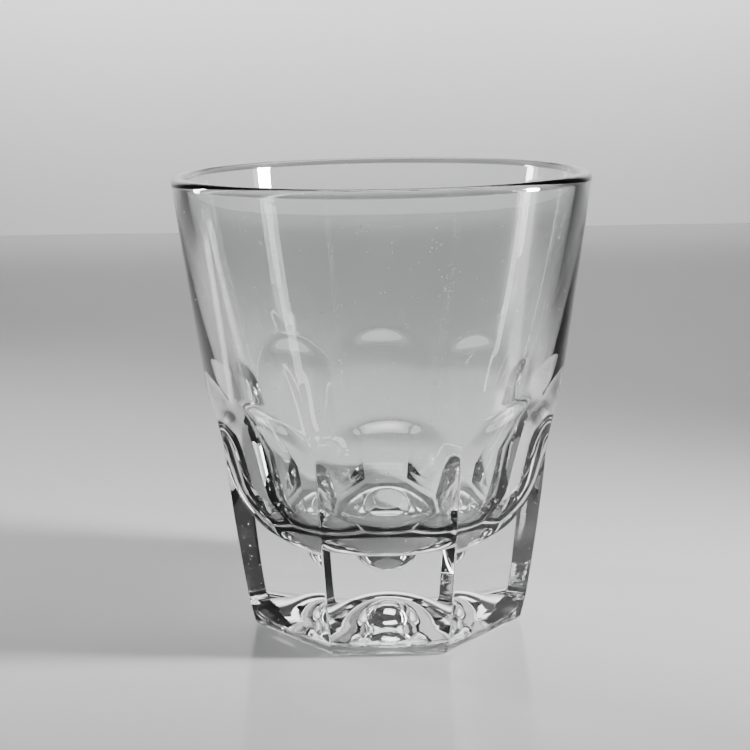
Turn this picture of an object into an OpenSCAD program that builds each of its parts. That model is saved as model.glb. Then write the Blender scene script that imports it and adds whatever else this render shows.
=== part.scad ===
// Shot glass, pressed in one piece from clear glass.
// A round, flared cup grows out of a heavy foot with flat panels. At its top,
// each panel scoops outwards along an arch until it runs out in the round wall.
// The glass stands on z = 0, centred on the z axis, and one panel faces -y.
// Sizes are in millimetres, angles in degrees.

/* [Cup] */
// Outside diameter of the rim
rim_d = 52; // [46:0.5:62.5]
// Height of the glass
glass_h = 57.5; // [50:0.5:69]
// Thickness of the wall at the rim, which is also the width of its round lip
rim_wall = 1.8; // [1.5:0.1:2.4]
// Lean of the outside wall
wall_lean = 7.1; // [6.5:0.1:8]
// Lean of the inside wall at the rim
inside_lean = 6.8; // [6:0.1:7.5]
// Radius of the long arc of the inside wall
inside_r = 220; // [190:5:400]

/* [Panels] */
// Number of flat panels round the foot
panel_count = 8; // [6:1:10]
// Width across opposite panels at the table
foot_flats = 34.5; // [28:0.5:38]
// Height at which the scoops begin
scoop_z = 25.8; // [21:0.1:31]
// How far the middle of a panel stands in from the round wall where its scoop begins
scoop_depth = 1.9; // [1.2:0.05:2.3]
// How far the middle of a panel stands out past a straight line
panel_bulge = 0.2; // [0.1:0.05:0.5]
// Radius of the hollow of a scoop
scoop_r = 8.4; // [6:0.1:11]
// Radius of the arch along which a scoop begins
arch_r = 15; // [12:0.5:20]

/* [Inside] */
// Thickness of the glass between the table and the floor of the cup
floor_z = 11.4; // [10:0.1:14]
// Radius between the floor and the inside wall
floor_r = 11; // [9:0.5:13]
// Radius of the ball that hollows the middle of the floor
dimple_r = 5; // [4:0.5:6]
// Depth of that hollow
dimple_depth = 3.3; // [2:0.1:4]

/* [Foot] */
// Height of the heel round the foot
heel_h = 4; // [3:0.5:6]
// How far the heel stands in at the table
heel_in = 0.25; // [0.15:0.05:0.5]
// Bevel round the bottom of the heel
foot_bevel = 0.6; // [0.3:0.1:1]
// Width of the ring that it stands on with its bevel, at the middle of a panel
ring_w = 3.5; // [2.5:0.1:5]
// Depth of the recess at its edge
recess_depth = 0.7; // [0.4:0.1:1.5]
// Extra depth of the recess towards its middle
recess_rise = 2.8; // [1.5:0.1:3.5]
// Radius of the ball that hollows the middle of the recess
dome_r = 13.2; // [10:0.2:18]
// Depth of that hollow
dome_depth = 1.6; // [0.8:0.1:2]

/* [Hidden] */
$fn = 240;
eps = 0.01;
// How far a cut runs past the face that it starts from
run_out = 1;
// How far an arc runs into what it meets, so that they cross and don't just touch
overlap = 0.02;

// Unit vectors for a wall that leans outwards: square to it, away from the axis, and up along it
function wall_normal(lean) = [cos(lean), -sin(lean)];
function wall_up(lean) = [sin(lean), cos(lean)];

// Radius of the ball that leaves a cap of this half width and depth
function cap_radius(half_width, depth) = (half_width * half_width + depth * depth) / (2 * depth);

// Lip: a circle whose top and side set the size of the glass
lip_r = rim_wall / 2;
lip_centre = [rim_d / 2 - lip_r, glass_h - lip_r];
lip_outside = lip_centre + lip_r * wall_normal(wall_lean);
lip_inside = lip_centre - lip_r * wall_normal(inside_lean);

// Outside wall: a cone down to the scoops, then a cylinder that no panel reaches
foot_blank_r = lip_outside[0] - (lip_outside[1] - scoop_z) * tan(wall_lean);

// Inside wall: a long arc from the lip, then a round floor arc that it runs into
inside_centre = lip_inside - (inside_r + overlap) * wall_normal(inside_lean);
floor_drop = inside_centre[1] - floor_z - floor_r;
floor_lean = asin(floor_drop / (inside_r - floor_r));
floor_arc_centre = inside_centre + (inside_r - floor_r) * wall_normal(floor_lean);
floor_arc_end = floor_arc_centre + floor_r * wall_normal(floor_lean);

// Panel: a long arc from the table up to the scoop
panel_foot = [foot_flats / 2, 0];
panel_top = [foot_blank_r - scoop_depth, scoop_z];
panel_chord = norm(panel_top - panel_foot);
panel_r = cap_radius(panel_chord / 2, panel_bulge);
panel_chord_lean = atan2(panel_top[0] - panel_foot[0], panel_top[1] - panel_foot[1]);
panel_top_lean = panel_chord_lean - asin(panel_chord / (2 * panel_r));
panel_centre = panel_top - panel_r * wall_normal(panel_top_lean);

// Scoop: a ring whose hole is the arch
scoop_centre = panel_top + (scoop_r - overlap) * wall_normal(panel_top_lean);
arch_centre = scoop_centre - arch_r * wall_up(panel_top_lean);

// Heel: a straight line from the table that crosses the panel at the top of the heel
heel_foot = panel_foot[0] - heel_in;
heel_top = panel_centre[0] + sqrt(panel_r * panel_r - pow(heel_h - panel_centre[1], 2));
heel_slope = (heel_top - heel_foot) / heel_h;

// Recess under the foot: a shallow ball with a smaller, deeper one at its middle
recess_r = foot_flats / 2 - ring_w;
recess_top = recess_depth + recess_rise;
recess_ball_r = cap_radius(recess_r, recess_rise);

// Rectangle between two heights and two distances from the axis
module strip(x0, x1, z0, z1) {
  translate([x0, z0]) square([x1 - x0, z1 - z0]);
}

// Section of a ball on the axis, above height z0, given the height of its top
module ball_section(r, top, z0) {
  intersection() {
    translate([0, top - r]) circle(r = r);
    strip(-eps, r + run_out, z0, top + run_out);
  }
}

// Half of the section of the recess
module recess_section() {
  strip(-eps, recess_r, -run_out, recess_depth);
  intersection() {
    union() {
      ball_section(recess_ball_r, recess_top, recess_depth - eps);
      ball_section(dome_r, recess_top + dome_depth, recess_depth - eps);
    }
    strip(-eps, recess_r, 0, floor_z);
  }
}

// Half of the section of the hollow in the cup's floor
module dimple_section() {
  intersection() {
    translate([0, floor_z - dimple_depth + dimple_r]) circle(r = dimple_r);
    strip(-eps, dimple_r + run_out, 0, floor_z + dimple_r);
  }
}

// Half of the cup's section, as if it had no panels
module cup_section() {
  difference() {
    polygon([
      [0, 0], [foot_blank_r, 0], [foot_blank_r, scoop_z], lip_outside, lip_centre, lip_inside,
      floor_arc_end, floor_arc_centre, [floor_arc_centre[0], floor_z], [0, floor_z]
    ]);
    translate(floor_arc_centre) circle(r = floor_r);
    intersection() {
      translate(inside_centre) circle(r = inside_r);
      strip(0, rim_d, floor_arc_end[1], lip_inside[1]);
    }
    dimple_section();
    recess_section();
  }
  translate(lip_centre) circle(r = lip_r);
}

// Section of what stands in front of a panel, from below the table to the top of its arch
module front_section() {
  difference() {
    strip(foot_flats / 4, rim_d, -run_out, panel_top[1]);
    translate(panel_centre) circle(r = panel_r);
  }
}

// Section of what the heel and its bevel take away
module heel_section() {
  bevel_top = heel_foot + heel_slope * foot_bevel;
  past_top = heel_h + run_out;
  polygon([
    [heel_foot - foot_bevel, -run_out], [heel_foot - foot_bevel, 0], [bevel_top, foot_bevel],
    [heel_foot + heel_slope * past_top, past_top], [rim_d, past_top], [rim_d, -run_out]
  ]);
}

// Turns a section upright and draws it out sideways, square to the middle of a panel
module across_panel() {
  rotate([90, 0, 0])
    linear_extrude(height = rim_d, center = true) children();
}

// Cuts one panel, as far up as its arch, with its share of the heel
module panel_cutter() {
  intersection() {
    across_panel() front_section();
    union() {
      translate([arch_centre[0], 0, arch_centre[1]])
        rotate([0, 90 + panel_top_lean, 0])
          cylinder(r = arch_r, h = rim_d, center = true);
      translate([0, -rim_d / 2, -run_out])
        cube([rim_d, rim_d, arch_centre[1] + run_out]);
    }
  }
  across_panel() heel_section();
}

// Cuts the scoop above one panel
module scoop_cutter() {
  translate([arch_centre[0], 0, arch_centre[1]])
    rotate([0, 90 + panel_top_lean, 0])
      rotate_extrude() translate([arch_r, 0]) circle(r = scoop_r);
}

// Repeats what it is given once for each panel, the first one facing -y
module at_each_panel() {
  for (k = [0 : panel_count - 1])
    rotate([0, 0, k * 360 / panel_count - 90]) children();
}

// The whole glass: the panels are cut first, then the scoops
module glass_body() {
  color("azure", 0.4)
    difference() {
      difference() {
        rotate_extrude() cup_section();
        at_each_panel() panel_cutter();
      }
      at_each_panel() scoop_cutter();
    }
}

glass_body();
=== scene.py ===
import math

import bpy
from mathutils import Matrix, Vector


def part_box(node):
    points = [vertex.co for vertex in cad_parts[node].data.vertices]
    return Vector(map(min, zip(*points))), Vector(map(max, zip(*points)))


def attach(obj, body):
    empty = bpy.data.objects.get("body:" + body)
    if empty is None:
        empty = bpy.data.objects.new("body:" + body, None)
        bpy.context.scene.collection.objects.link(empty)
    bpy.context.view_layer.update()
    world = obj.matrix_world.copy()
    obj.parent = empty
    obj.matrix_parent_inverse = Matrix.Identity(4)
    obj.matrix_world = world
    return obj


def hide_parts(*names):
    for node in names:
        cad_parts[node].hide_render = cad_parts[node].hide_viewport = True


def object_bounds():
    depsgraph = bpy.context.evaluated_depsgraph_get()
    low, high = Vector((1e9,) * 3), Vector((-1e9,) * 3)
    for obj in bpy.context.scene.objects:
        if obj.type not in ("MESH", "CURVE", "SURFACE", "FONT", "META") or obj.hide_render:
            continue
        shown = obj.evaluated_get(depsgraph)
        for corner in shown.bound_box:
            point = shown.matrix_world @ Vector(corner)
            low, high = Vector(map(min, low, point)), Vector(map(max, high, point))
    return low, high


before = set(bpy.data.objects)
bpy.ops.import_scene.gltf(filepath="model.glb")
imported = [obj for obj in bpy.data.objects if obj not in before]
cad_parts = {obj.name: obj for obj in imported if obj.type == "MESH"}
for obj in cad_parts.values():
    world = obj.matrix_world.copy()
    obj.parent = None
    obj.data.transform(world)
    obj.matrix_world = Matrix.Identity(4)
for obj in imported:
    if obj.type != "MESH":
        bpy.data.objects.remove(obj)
cadLow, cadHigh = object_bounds()

# the glass, in metres and degrees; its rim and height come from the frame
glass = {
    "rimWall": 0.0018,
    "wallLean": 7.1,
    "insideLean": 6.8,
    "insideR": 0.220,  # the inside wall is a long arc, steeper at the rim than at the floor
    "panels": 8,
    "footFlats": 0.0345,
    "scoopZ": 0.0258,
    "scoopDepth": 0.0019,
    "panelBulge": 0.0002,
    "scoopR": 0.0084,
    "archR": 0.0150,  # a scoop begins along an arch of this radius
    "crestSoft": 0.0013,  # rounding of the arch where a scoop meets the round wall
    "cornerSoft": 0.00012,  # rounding of the upright corners between panels
    "floorZ": 0.0114,
    "floorR": 0.011,
    "dimpleR": 0.0050,  # radius of the ball that hollows the floor
    "dimpleDepth": 0.0033,
    "heelHeight": 0.0040,
    "heelInset": 0.00025,  # how far the heel stands in at the table
    "footRound": 0.0010,
    "ringWidth": 0.0035,
    "recessDepth": 0.0007,
    "recessRise": 0.0028,
    "domeR": 0.0132,  # radius of the ball that hollows the middle of the recess
    "domeDepth": 0.0016,
    "domeSoft": 0.0012,  # rounding where the dimple and the dome start
    "recessFillet": 0.0003,
    "columnsPerPanel": 40,
    "columnCrowding": 0.8,  # 0 spaces the columns evenly, towards 1 they gather at the corners
}


def deselectAll():
    if bpy.context.object and bpy.context.object.mode != "OBJECT":
        bpy.ops.object.mode_set(mode="OBJECT")
    bpy.ops.object.select_all(action="DESELECT")


def wallNormal(lean):
    return Vector((math.cos(math.radians(lean)), -math.sin(math.radians(lean))))


def arc(centre, radius, start, end, steps):
    angles = [start + (end - start) * i / steps for i in range(steps + 1)]
    return [centre + radius * Vector((math.cos(a), math.sin(a))) for a in angles]


def line(start, end, steps):
    return [start.lerp(end, i / steps) for i in range(steps + 1)]


def softMin(a, b, width):
    h = max(width - abs(a - b), 0) / width
    return min(a, b) - h**3 * width / 6


def capRadius(halfWidth, depth):
    return (halfWidth**2 + depth**2) / (2 * depth)  # radius of the ball that leaves such a cap


def glassShape(rimRadius, height):
    g = glass
    lipR = g["rimWall"] / 2
    s = {"lipR": lipR}
    s["lipCentre"] = Vector((rimRadius - lipR, height - lipR))
    s["lipOutside"] = s["lipCentre"] + lipR * wallNormal(g["wallLean"])
    s["lipInside"] = s["lipCentre"] - lipR * wallNormal(g["insideLean"])

    # inside: a long arc from the lip, then a round floor arc that it runs into
    s["insideCentre"] = s["lipInside"] - g["insideR"] * wallNormal(g["insideLean"])
    drop = g["floorZ"] + g["floorR"] - s["insideCentre"].y
    across = math.sqrt((g["insideR"] - g["floorR"]) ** 2 - drop**2)
    s["floorCentre"] = s["insideCentre"] + Vector((across, drop))
    s["floorEndTurn"] = math.atan2(drop, across)

    # a panel: a long arc from the table up to its scoop
    foot = Vector((g["footFlats"] / 2, 0))
    top = Vector((wallRadius(s, g["scoopZ"]) - g["scoopDepth"], g["scoopZ"]))
    chord = top - foot
    s["panelR"] = capRadius(chord.length / 2, g["panelBulge"])
    halfTurn = math.asin(chord.length / (2 * s["panelR"]))
    topLean = math.degrees(math.atan2(chord.x, chord.y) - halfTurn)
    s["panelCentre"] = top - s["panelR"] * wallNormal(topLean)
    s["scoopCentre"] = top + g["scoopR"] * wallNormal(topLean)
    return s


def wallRadius(s, z):
    return s["lipOutside"].x + (z - s["lipOutside"].y) * math.tan(math.radians(glass["wallLean"]))


def panelDistance(s, z):
    # how far the middle of a panel stands from the axis, before its scoop
    c, r = s["panelCentre"], s["panelR"]
    x = c.x + math.sqrt(r**2 - (z - c.y) ** 2)
    x -= glass["heelInset"] * max(1 - z / glass["heelHeight"], 0)
    b = glass["footRound"]
    return x - b + math.sqrt(max(b**2 - max(b - z, 0) ** 2, 0))


def scoopRise(across, z):
    # how far a scoop stands out from its panel; it begins along an arch and hollows like a ball
    archZ = glass["scoopZ"] - glass["archR"]
    h = math.hypot(across, max(z - archZ, 0)) - glass["archR"]
    if z < archZ or h < 0:
        return 0
    r = glass["scoopR"]
    return r - math.sqrt(max(r**2 - h**2, 0)) + max(h - r, 0) * 3


def pressedRadius(s, z, offMiddle):
    # offMiddle is the turn away from the middle of a panel
    flat = panelDistance(s, z)
    rise = scoopRise(flat * math.tan(offMiddle), z)
    rise = scoopRise((flat + rise) * math.tan(offMiddle), z)
    return (flat + rise) / math.cos(offMiddle)


def outsideRadius(s, z, offMiddle):
    sector = math.tau / glass["panels"]
    own, next = pressedRadius(s, z, offMiddle), pressedRadius(s, z, sector - offMiddle)
    wall = wallRadius(s, max(z, glass["scoopZ"]))  # the round wall plays no part below the scoops
    return softMin(wall, softMin(own, next, glass["cornerSoft"]), glass["crestSoft"])


def floorHeight(r):
    g = glass
    dimple = g["floorZ"] - g["dimpleDepth"] + g["dimpleR"]
    dimple -= math.sqrt(max(g["dimpleR"] ** 2 - r**2, 0))
    return softMin(g["floorZ"], dimple, g["domeSoft"])


def recessHeight(r):
    g = glass
    top = g["recessDepth"] + g["recessRise"]
    whole = capRadius(g["footFlats"] / 2 - g["ringWidth"], g["recessRise"])
    ceiling = top - whole + math.sqrt(max(whole**2 - r**2, 0))
    dome = top + g["domeDepth"] - g["domeR"] + math.sqrt(max(g["domeR"] ** 2 - r**2, 0))
    return -softMin(-ceiling, -dome, g["domeSoft"])


def glassProfile(s):
    # half section from the middle of the cup's floor, over the lip, down the outside and under
    # the foot; each point is (radius, height, share), share is how far a row follows the panels
    g = glass
    rad = math.radians
    edge = s["floorCentre"].x
    inside = [Vector((edge * i / 26, floorHeight(edge * i / 26))) for i in range(26)]
    inside += arc(s["floorCentre"], g["floorR"], rad(-90), s["floorEndTurn"], 40)
    wall = arc(s["insideCentre"], g["insideR"], rad(-g["insideLean"]), s["floorEndTurn"], 400)
    inside += [wall[i * i] for i in range(19, 0, -1)]  # the rows gather below the lip
    inside += arc(s["lipCentre"], s["lipR"], rad(180 - g["insideLean"]), rad(-g["wallLean"]), 24)
    points = [(p.x, p.y, 0) for p in inside]

    # outside, with the rows closest together below the lip, at the scoops and at the heel
    lip, crest, scoop = s["lipOutside"].y, g["scoopZ"] + g["scoopR"], g["scoopZ"] - 0.001
    heel, b = g["heelHeight"], g["footRound"]
    heights = [lip + (crest - lip) * (i / 16) ** 2 for i in range(1, 17)]
    heights += [crest + (scoop - crest) * i / 60 for i in range(1, 61)]
    heights += [scoop + (heel + 0.0002 - scoop) * i / 14 for i in range(1, 15)]
    heights += [heel, heel - 0.0002] + [heel + (b - heel) * i / 10 for i in range(1, 11)]
    heights += [b - b * math.sin(rad(a)) for a in (15, 30, 45, 60, 75, 90)]
    points += [(wallRadius(s, z), z, 1) for z in heights]

    # under the foot: flat ring, rounded edge, recess wall and its ceiling
    f = g["recessFillet"]
    recessR = g["footFlats"] / 2 - g["ringWidth"]
    s["ringInner"] = recessR + f
    outer = points[-1][0]
    points += [(s["ringInner"] + (outer - s["ringInner"]) * t, 0, t) for t in (0.8, 0.6, 0.4, 0.2, 0)]
    recess = arc(Vector((s["ringInner"], f)), f, rad(270), rad(180), 5)[1:]
    corner = Vector((recessR - f, recessHeight(recessR - f) - f))
    recess += line(Vector((recessR, f)), Vector((recessR, corner.y)), 2)[1:-1]
    recess += arc(corner, f, 0, rad(90), 6)
    recess += [Vector((corner.x * i / 36, recessHeight(corner.x * i / 36))) for i in range(35, -1, -1)]
    points += [(max(p.x, 0), p.y, 0) for p in recess]
    return points


def makeGlass():
    low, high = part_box("glass_body")
    s = glassShape((high.x - low.x) / 2, high.z - low.z)
    points = glassProfile(s)
    shareAt = {(round(r, 7), round(z, 7)): share for r, z, share in points}

    # the half section, drawn as a chain of edges
    deselectAll()
    bpy.ops.mesh.primitive_plane_add(size=0.001, location=(0, 0, 0))
    body = bpy.context.object
    body.name = "glass"
    bpy.ops.object.mode_set(mode="EDIT")
    bpy.ops.mesh.select_all(action="SELECT")
    bpy.ops.mesh.merge(type="CENTER")
    here = Vector((0, 0, 0))
    first = True
    for r, z, share in points:
        there = Vector((r, 0, z))
        if first:
            bpy.ops.transform.translate(value=there - here)
        else:
            bpy.ops.mesh.extrude_vertices_move(TRANSFORM_OT_translate={"value": there - here})
        first, here = False, there
    bpy.ops.mesh.select_all(action="SELECT")
    columns = glass["panels"] * glass["columnsPerPanel"]
    bpy.ops.mesh.spin(
        steps=columns, angle=math.tau, center=(0, 0, 0), axis=(0, 0, 1), use_auto_merge=True
    )
    bpy.ops.mesh.select_all(action="SELECT")
    bpy.ops.mesh.remove_doubles(threshold=1e-6)
    bpy.ops.object.mode_set(mode="OBJECT")

    # press the panels into the round blank
    sector = math.tau / glass["panels"]
    quarter = math.pi / 2  # one panel faces -y
    for v in body.data.vertices:
        r, z = math.hypot(v.co.x, v.co.y), v.co.z
        if r < 1e-6:
            v.co = (0, 0, z)
            continue
        share = shareAt.get((round(r, 7), round(z, 7)))
        if share is None:
            share = min(shareAt.items(), key=lambda k: (k[0][0] - r) ** 2 + (k[0][1] - z) ** 2)[1]
        turn = math.atan2(v.co.y, v.co.x) + quarter
        panel = round(turn / sector)
        across = (turn - panel * sector) / (sector / 2)  # -1 to 1 over one panel
        across += glass["columnCrowding"] * math.sin(math.pi * across) / math.pi
        offMiddle = across * sector / 2
        angle = panel * sector + offMiddle - quarter
        if share > 0:
            pressed = outsideRadius(s, z, abs(offMiddle))
            r = pressed if share == 1 else s["ringInner"] + (pressed - s["ringInner"]) * share
        v.co = (r * math.cos(angle), r * math.sin(angle), z)

    bpy.ops.object.mode_set(mode="EDIT")
    bpy.ops.mesh.select_all(action="SELECT")
    bpy.ops.mesh.normals_make_consistent(inside=False)
    bpy.ops.object.mode_set(mode="OBJECT")
    bpy.ops.object.shade_smooth()
    print("glass:", len(body.data.vertices), "vertices,", len(body.data.polygons), "faces")
    return body


def newGroup(name, inputs, outputs):
    # inputs: name -> value, outputs: name -> socket kind
    group = bpy.data.node_groups.new(name, "ShaderNodeTree")
    group.interface.new_socket("Position", in_out="INPUT", socket_type="NodeSocketVector")
    for key, value in inputs.items():
        socket = group.interface.new_socket(key, in_out="INPUT", socket_type="NodeSocketFloat")
        socket.default_value = value
    for key, kind in outputs.items():
        group.interface.new_socket(key, in_out="OUTPUT", socket_type="NodeSocket" + kind)
    source, target = group.nodes.new("NodeGroupInput"), group.nodes.new("NodeGroupOutput")
    return group, source.outputs, target.inputs


def maths(tree, operation, a, b=None, c=None, clamp=False):
    node = tree.nodes.new("ShaderNodeMath")
    node.operation, node.use_clamp = operation, clamp
    for socket, value in zip(node.inputs, (a, b, c)):
        if isinstance(value, bpy.types.NodeSocket):
            tree.links.new(value, socket)
        elif value is not None:
            socket.default_value = value
    return node.outputs[0]


def stretched(tree, position, scale):
    node = tree.nodes.new("ShaderNodeVectorMath")
    node.operation = "MULTIPLY"
    tree.links.new(position, node.inputs[0])
    node.inputs[1].default_value = scale
    return node.outputs[0]


def noise(tree, position, scale, detail=2.0, distortion=0.0):
    node = tree.nodes.new("ShaderNodeTexNoise")
    tree.links.new(position, node.inputs["Vector"])
    node.inputs["Detail"].default_value = detail
    node.inputs["Distortion"].default_value = distortion
    if isinstance(scale, bpy.types.NodeSocket):
        tree.links.new(scale, node.inputs["Scale"])
    else:
        node.inputs["Scale"].default_value = scale
    return node.outputs["Fac"]


def band(tree, value, start, end):
    # 0 at start, 1 at end, smooth between
    node = tree.nodes.new("ShaderNodeMapRange")
    node.interpolation_type = "SMOOTHSTEP"
    tree.links.new(value, node.inputs["Value"])
    for key, item in (("From Min", start), ("From Max", end)):
        if isinstance(item, bpy.types.NodeSocket):
            tree.links.new(item, node.inputs[key])
        else:
            node.inputs[key].default_value = item
    return node.outputs["Result"]


def heightOf(tree, position):
    node = tree.nodes.new("ShaderNodeSeparateXYZ")
    tree.links.new(position, node.inputs[0])
    return node.outputs["Z"]


def makeRippleGroup():
    # slow unevenness of pressed glass: upright streaks in the wall, and an uneven heel and ring
    tree, source, target = newGroup(
        "pressedRipple",
        {"Streak Scale": 150, "Dent Scale": 420, "Heel Top": 0.004},
        {"Streaks": "Float", "Heel": "Float"},
    )
    place = source["Position"]
    upright = stretched(tree, place, (1, 1, 0.12))
    streaks = noise(tree, upright, source["Streak Scale"], detail=1.5, distortion=0.3)
    tree.links.new(streaks, target["Streaks"])
    level = stretched(tree, place, (1, 1, 3))
    dents = noise(tree, level, source["Dent Scale"], detail=3, distortion=0.8)
    low = maths(tree, "SUBTRACT", 1, band(tree, heightOf(tree, place), 0, source["Heel Top"]))
    tree.links.new(maths(tree, "MULTIPLY", dents, low), target["Heel"])
    return tree


def makeScratchGroup():
    # hairlines along the contours of a slow noise, broken into short lengths
    tree, source, target = newGroup(
        "hairlines",
        {"Line Scale": 90, "Line Width": 0.0012, "Patch Scale": 130, "Patch Share": 0.62},
        {"Mask": "Float"},
    )
    slanted = stretched(tree, source["Position"], (1, 0.7, 2.2))
    contour = noise(tree, slanted, source["Line Scale"], detail=0)
    away = maths(tree, "ABSOLUTE", maths(tree, "SUBTRACT", contour, 0.5))
    lines = maths(tree, "SUBTRACT", 1, band(tree, away, 0, source["Line Width"]))
    patch = noise(tree, source["Position"], source["Patch Scale"], detail=1)
    edge = maths(tree, "ADD", source["Patch Share"], 0.03)
    shown = band(tree, patch, source["Patch Share"], edge)
    tree.links.new(maths(tree, "MULTIPLY", lines, shown), target["Mask"])
    return tree


def makeDustGroup():
    # round specks, one in a few cells, each of its own size
    tree, source, target = newGroup(
        "dustSpecks",
        {"Cells": 1500, "Share": 0.05, "Speck Size": 0.16},
        {"Mask": "Float"},
    )
    cells = tree.nodes.new("ShaderNodeTexVoronoi")
    tree.links.new(source["Position"], cells.inputs["Vector"])
    tree.links.new(source["Cells"], cells.inputs["Scale"])
    parts = tree.nodes.new("ShaderNodeSeparateColor")
    tree.links.new(cells.outputs["Color"], parts.inputs[0])
    chosen = maths(tree, "LESS_THAN", parts.outputs[0], source["Share"])
    size = maths(tree, "MULTIPLY", source["Speck Size"], maths(tree, "ADD", parts.outputs[1], 0.5))
    soft = maths(tree, "MULTIPLY", size, 0.6)
    outside = band(tree, cells.outputs["Distance"], soft, size)
    inside = maths(tree, "SUBTRACT", 1, outside)
    tree.links.new(maths(tree, "MULTIPLY", chosen, inside), target["Mask"])
    return tree


clearGlass = {
    "tint": (0.975, 0.985, 0.982, 1),
    "dustTint": (0.80, 0.81, 0.80, 1),
    "ior": 1.52,
    "smudgeScale": 60,
    "smudgeStart": 0.5,
    "smudgeEnd": 0.7,
    "smudgeRoughness": 0.012,
    "scratchRoughness": 0.25,
    "dustRoughness": 0.6,
    "streakDepth": 0.000012,
    "heelDepth": 0.00004,
}


def makeClearGlass():
    g = clearGlass
    mat = bpy.data.materials.new("clearGlass")
    mat.use_nodes = True
    tree = mat.node_tree
    bsdf = tree.nodes["Principled BSDF"]
    bsdf.inputs["IOR"].default_value = g["ior"]
    bsdf.inputs["Transmission Weight"].default_value = 1.0
    place = tree.nodes.new("ShaderNodeTexCoord").outputs["Object"]
    groups = {}
    for key, make in (("ripple", makeRippleGroup), ("scratch", makeScratchGroup), ("dust", makeDustGroup)):
        groups[key] = tree.nodes.new("ShaderNodeGroup")
        groups[key].node_tree = make()
        tree.links.new(place, groups[key].inputs["Position"])

    # smudges, hairlines and dust are rougher than the fire-polished glass
    smudges = noise(tree, place, g["smudgeScale"], detail=3)
    smudge = band(tree, smudges, g["smudgeStart"], g["smudgeEnd"])
    scratch, dust = groups["scratch"].outputs["Mask"], groups["dust"].outputs["Mask"]
    rough = maths(tree, "MULTIPLY", smudge, g["smudgeRoughness"])
    rough = maths(tree, "MULTIPLY_ADD", scratch, g["scratchRoughness"], rough)
    rough = maths(tree, "MULTIPLY_ADD", dust, g["dustRoughness"], rough, clamp=True)
    tree.links.new(rough, bsdf.inputs["Roughness"])
    colour = tree.nodes.new("ShaderNodeMix")
    colour.data_type = "RGBA"
    tree.links.new(dust, colour.inputs["Factor"])
    colour.inputs["A"].default_value, colour.inputs["B"].default_value = g["tint"], g["dustTint"]
    tree.links.new(colour.outputs["Result"], bsdf.inputs["Base Color"])

    # the pressed surface is not quite even
    normal = None
    for output, depth in (("Streaks", g["streakDepth"]), ("Heel", g["heelDepth"])):
        bump = tree.nodes.new("ShaderNodeBump")
        bump.inputs["Distance"].default_value = depth
        tree.links.new(groups["ripple"].outputs[output], bump.inputs["Height"])
        if normal:
            tree.links.new(normal, bump.inputs["Normal"])
        normal = bump.outputs["Normal"]
    tree.links.new(normal, bsdf.inputs["Normal"])
    return mat


# the camera; distances in rim radii, so that they follow the size of the glass
view = {
    "distance": 6.26,
    "height": 2.687,
    "aroundGlass": -0.91,
    "pitch": 13.307,
    "roll": -0.914,
    "pan": -0.404,
    "lens": 62.1,
    "sensor": 36,
}


def makeCamera(unit):
    cam = bpy.data.cameras.new("camera")
    cam.lens, cam.sensor_width = view["lens"], view["sensor"]
    cam.clip_start, cam.clip_end = 0.001, 50
    obj = bpy.data.objects.new("camera", cam)
    bpy.context.scene.collection.objects.link(obj)
    pitch, roll, pan, around = (math.radians(view[k]) for k in ("pitch", "roll", "pan", "aroundGlass"))
    turn = Matrix.Rotation(-pan, 4, "Z") @ Matrix.Rotation(math.pi / 2 - pitch, 4, "X")
    turn = turn @ Matrix.Rotation(roll, 4, "Z")
    place = Matrix.Translation((0, -view["distance"] * unit, view["height"] * unit))
    obj.matrix_world = Matrix.Rotation(around, 4, "Z") @ place @ turn
    bpy.context.scene.camera = obj
    return obj


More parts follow.
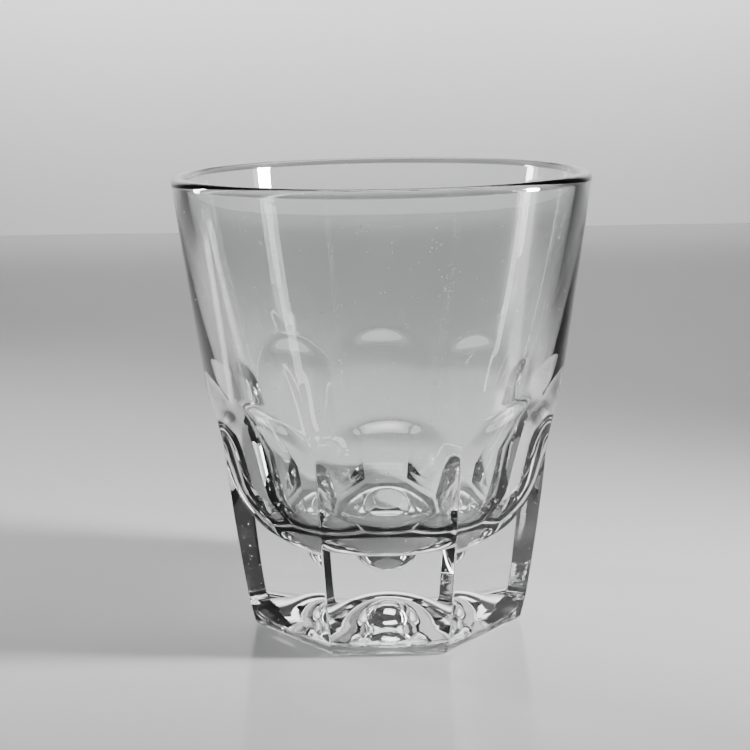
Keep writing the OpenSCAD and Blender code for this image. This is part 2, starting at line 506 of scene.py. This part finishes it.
def makeStage(unit):
    # the floor runs back to a low horizon, where a plain backdrop stands
    # name, place, size, tilt, colour, roughness, shine
    sheets = (
        ("floor", (0, -18, 0), (90, 68), 0, (0.27, 0.27, 0.27, 1), 0.16, 0.30),
        ("backdrop", (0, 16, 14), (90, 30), 90, (0.80, 0.80, 0.80, 1), 0.80, 0.20),
    )
    for name, place, (width, depth), tilt, colour, roughness, shine in sheets:
        deselectAll()
        bpy.ops.mesh.primitive_plane_add(size=1, location=Vector(place) * unit)
        sheet = bpy.context.object
        sheet.name = name
        sheet.scale = (width * unit, depth * unit, 1)
        sheet.rotation_euler = (math.radians(tilt), 0, 0)
        bpy.ops.object.transform_apply(location=True, rotation=True, scale=True)
        mat = bpy.data.materials.new(name)
        mat.use_nodes = True
        bsdf = mat.node_tree.nodes["Principled BSDF"]
        bsdf.inputs["Base Color"].default_value = colour
        bsdf.inputs["Roughness"].default_value = roughness
        bsdf.inputs["Specular IOR Level"].default_value = shine
        sheet.data.materials.append(mat)
    print("stage: floor and backdrop")


worldGrey = 0.05

# soft boxes; places and sizes in rim radii, each faces the glass unless it has its own aim
lights = {
    "overhead": {"place": (1, 5, 11), "size": (6, 5), "watts": 0.10, "spread": 120},
    "rightStrip": {"place": (10.5, -1.5, 2.6), "size": (1.7, 5.6), "watts": 1.2, "spread": 50},
    "leftStrip": {"place": (-9, 3.5, 3.2), "size": (1.0, 5.6), "watts": 0.4, "spread": 120},
    "backdropLight": {"place": (0, 9, 13), "size": (22, 3), "watts": 1.25, "spread": 64, "aim": (0, 16, 6)},
}


def makeLight(unit):
    world = bpy.data.worlds.new("studio")
    world.use_nodes = True
    world.node_tree.nodes["Background"].inputs["Color"].default_value = (worldGrey,) * 3 + (1,)
    bpy.context.scene.world = world
    for name, box in lights.items():
        lamp = bpy.data.lights.new(name, "AREA")
        lamp.shape = "RECTANGLE"
        lamp.size, lamp.size_y = (side * unit for side in box["size"])
        lamp.energy, lamp.spread = box["watts"], math.radians(box["spread"])
        obj = bpy.data.objects.new(name, lamp)
        bpy.context.scene.collection.objects.link(obj)
        place, aim = Vector(box["place"]), Vector(box.get("aim", (0, 0, 1.2)))
        obj.location = place * unit
        obj.rotation_euler = (aim - place).to_track_quat("-Z", "Y").to_euler()
    print("light:", len(lights), "soft boxes")


body = makeGlass()
body.data.materials.append(makeClearGlass())
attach(body, "root")
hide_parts("glass_body")

unit = (cadHigh.x - cadLow.x) / 2
makeCamera(unit)
makeStage(unit)
makeLight(unit)
